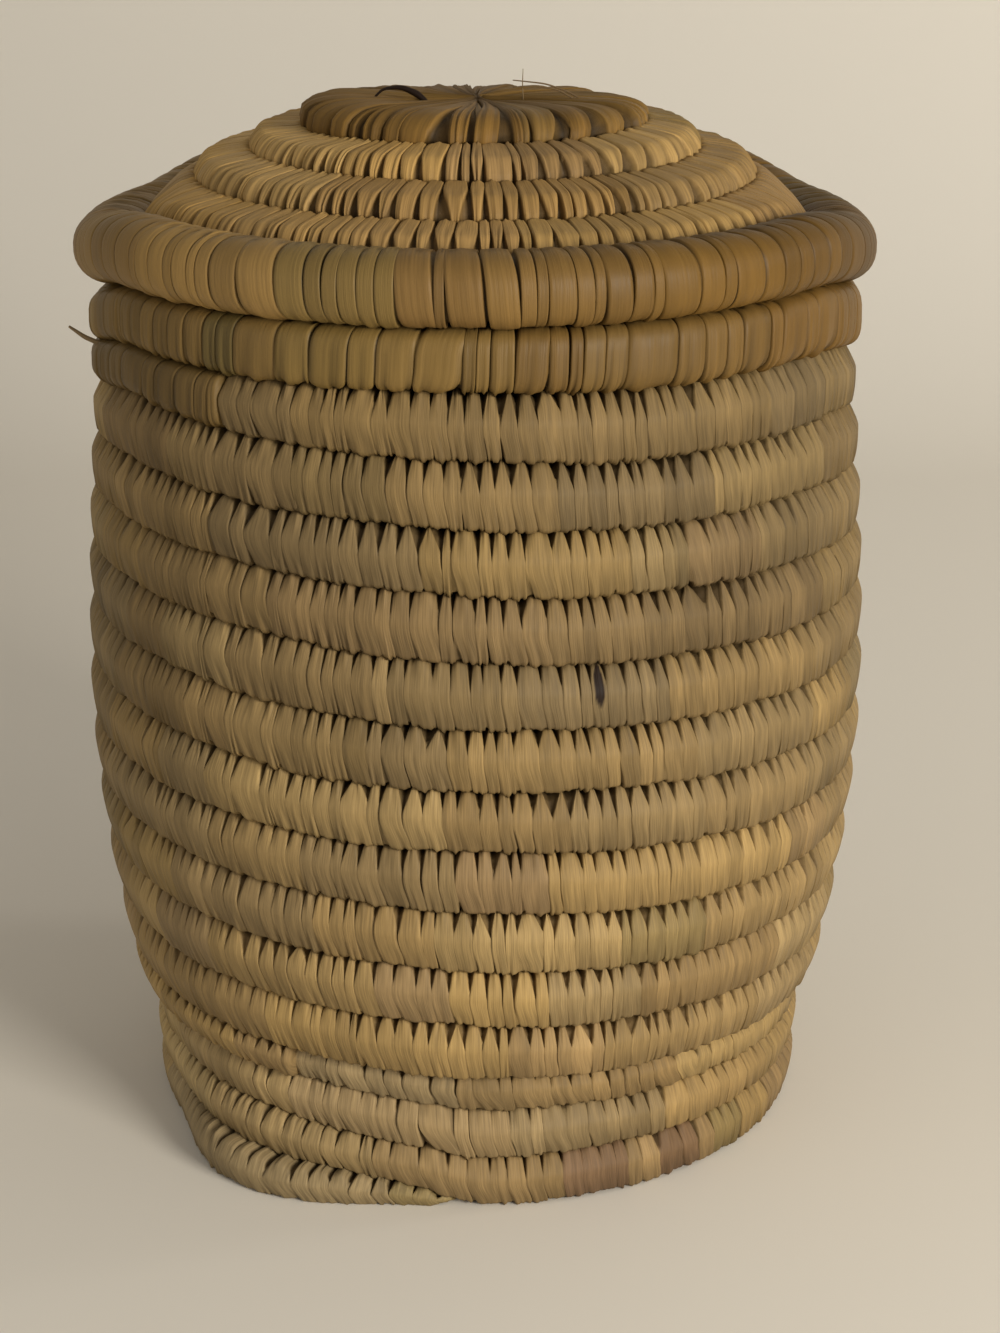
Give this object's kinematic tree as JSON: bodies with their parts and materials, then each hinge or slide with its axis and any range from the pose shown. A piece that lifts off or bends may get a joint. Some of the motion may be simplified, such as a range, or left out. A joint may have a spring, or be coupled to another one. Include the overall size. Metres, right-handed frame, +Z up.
{
  "type": "coiled lidded basket",
  "caption": "Tall barrel-shaped coiled basket of grass bundles sewn with palm leaf strips, with a ring foot, a close-wrapped rim and a stepped lift-off lid.",
  "frame": {"origin": "centre of the ring foot on the plane that it rests on", "axes": "+Z up along the basket's axis, -Y to the front, where the foot's free tail end lies just left of centre, +X to the right seen from the front"},
  "size_m": [0.3009, 0.3008, 0.3944],
  "materials": {
    "sewn_leaf": "dry palm leaf strips sewn over grass, matt with a faint sheen",
    "wrapped_leaf": "smooth close-wrapped palm leaf strips, satin",
    "grass_core": "dry bundled grass, matt"
  },
  "bodies": {
    "basket": {"foot_coil": "sewn_leaf", "base_knot": "sewn_leaf", "base_coil": "sewn_leaf", "wall_coil": "sewn_leaf", "rim_core": "grass_core", "rim_wrap": "wrapped_leaf"},
    "lid": {"lid_button": "sewn_leaf", "lid_coil": "sewn_leaf", "lid_rim_core": "grass_core", "lid_rim_wrap": "wrapped_leaf", "lid_locating_ring": "sewn_leaf"}
  },
  "joints": [
    {"name": "lid_lift", "type": "slide", "parent": "basket", "child": "lid", "axis": [0, 0, 1], "range_m": [0, 0.16]}
  ]
}
